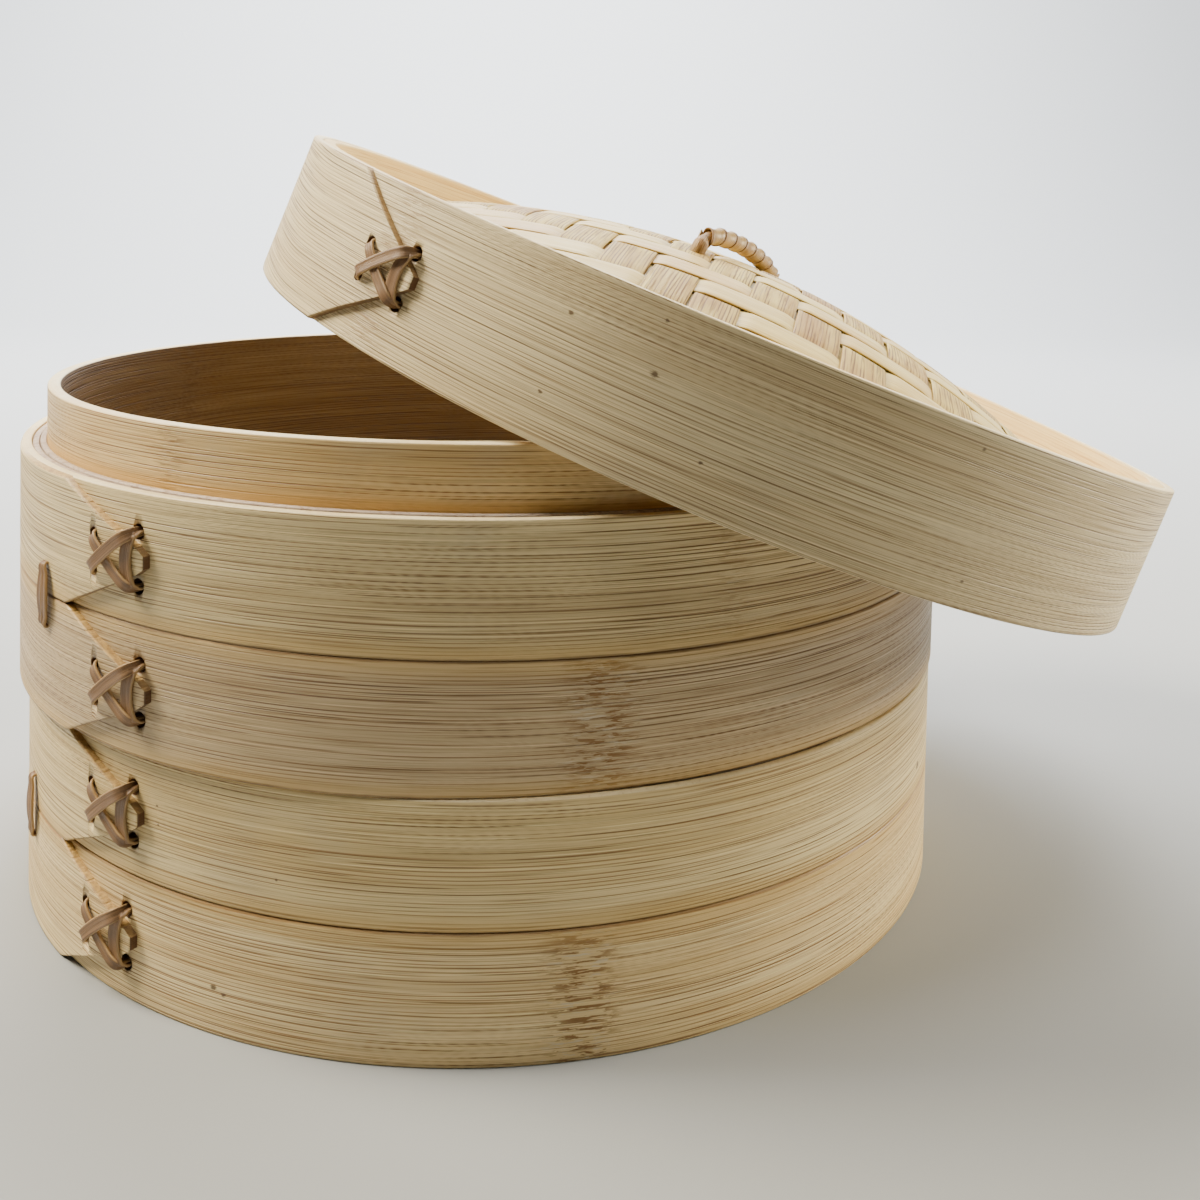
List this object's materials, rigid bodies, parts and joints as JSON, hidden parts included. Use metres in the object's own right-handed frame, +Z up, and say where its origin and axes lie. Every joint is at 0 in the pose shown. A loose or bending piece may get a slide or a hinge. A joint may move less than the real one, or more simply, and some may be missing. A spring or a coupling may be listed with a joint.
{
  "type": "bamboo steamer basket",
  "caption": "Round stacked bamboo steamer basket: bent and stitched bamboo hoops, slatted floors, and a woven domed lid with a loop handle leaning half open.",
  "frame": {"origin": "on the lower tier's axis, in the plane it stands on", "axes": "+Z up along the tiers, towards the lid; +X towards the side where the lid hangs over; -Y towards the front, where the lapped hoop ends are seen at the left"},
  "size_m": [0.3196, 0.2643, 0.1976],
  "materials": {
    "bamboo_hoop": "raw split bamboo, satin, with fine lengthwise fibres and darker knuckles",
    "bamboo_wall": "raw planed bamboo, warm honey colour, satin",
    "bamboo_core": "raw cut bamboo, matt, pale",
    "bamboo_slat": "raw split bamboo, satin",
    "rattan_brown": "flat steamed rattan strip, waxy, with fine lengthwise lines",
    "rattan_pale": "flat rattan strip, waxy, honey colour",
    "weave_light": "smooth pale bamboo skin strip, satin",
    "weave_grained": "split bamboo strip with open fibres, satin",
    "weave_inner": "woven inner mat of split bamboo, matt"
  },
  "bodies": {
    "lower_tier": {"lower_wall": "bamboo_wall", "lower_filler": "bamboo_core", "lower_bottom_hoop": "bamboo_hoop", "lower_top_hoop": "bamboo_hoop", "lower_bottom_lacing": "rattan_brown", "lower_top_lacing": "rattan_brown", "lower_seam_stitches": "rattan_brown", "lower_floor_rings": "bamboo_wall", "lower_slats": "bamboo_slat", "lower_cross_bars": "bamboo_core", "lower_pegs": "bamboo_core"},
    "upper_tier": {"upper_wall": "bamboo_wall", "upper_filler": "bamboo_core", "upper_bottom_hoop": "bamboo_hoop", "upper_top_hoop": "bamboo_hoop", "upper_bottom_lacing": "rattan_brown", "upper_top_lacing": "rattan_brown", "upper_seam_stitches": "rattan_brown", "upper_floor_rings": "bamboo_wall", "upper_slats": "bamboo_slat", "upper_cross_bars": "bamboo_core", "upper_pegs": "bamboo_core"},
    "lid": {"lid_hoop": "bamboo_hoop", "lid_rim_ring": "bamboo_wall", "lid_skirt_ring": "bamboo_wall", "lid_lacing": "rattan_brown", "lid_weave_rows": "weave_light", "lid_weave_columns": "weave_grained", "lid_lining": "weave_inner", "lid_ribs": "bamboo_core", "lid_handle_core": "rattan_pale", "lid_handle_wrap": "rattan_pale", "lid_pegs": "bamboo_core"}
  },
  "joints": [
    {"name": "upper_tier_lift", "type": "slide", "parent": "lower_tier", "child": "upper_tier", "axis": [0, 0, 1], "range_m": [0, 0.08]},
    {"name": "lid_lift", "type": "slide", "parent": "upper_tier", "child": "lid", "axis": [0, 0, 1], "range_m": [0, 0.1]}
  ]
}
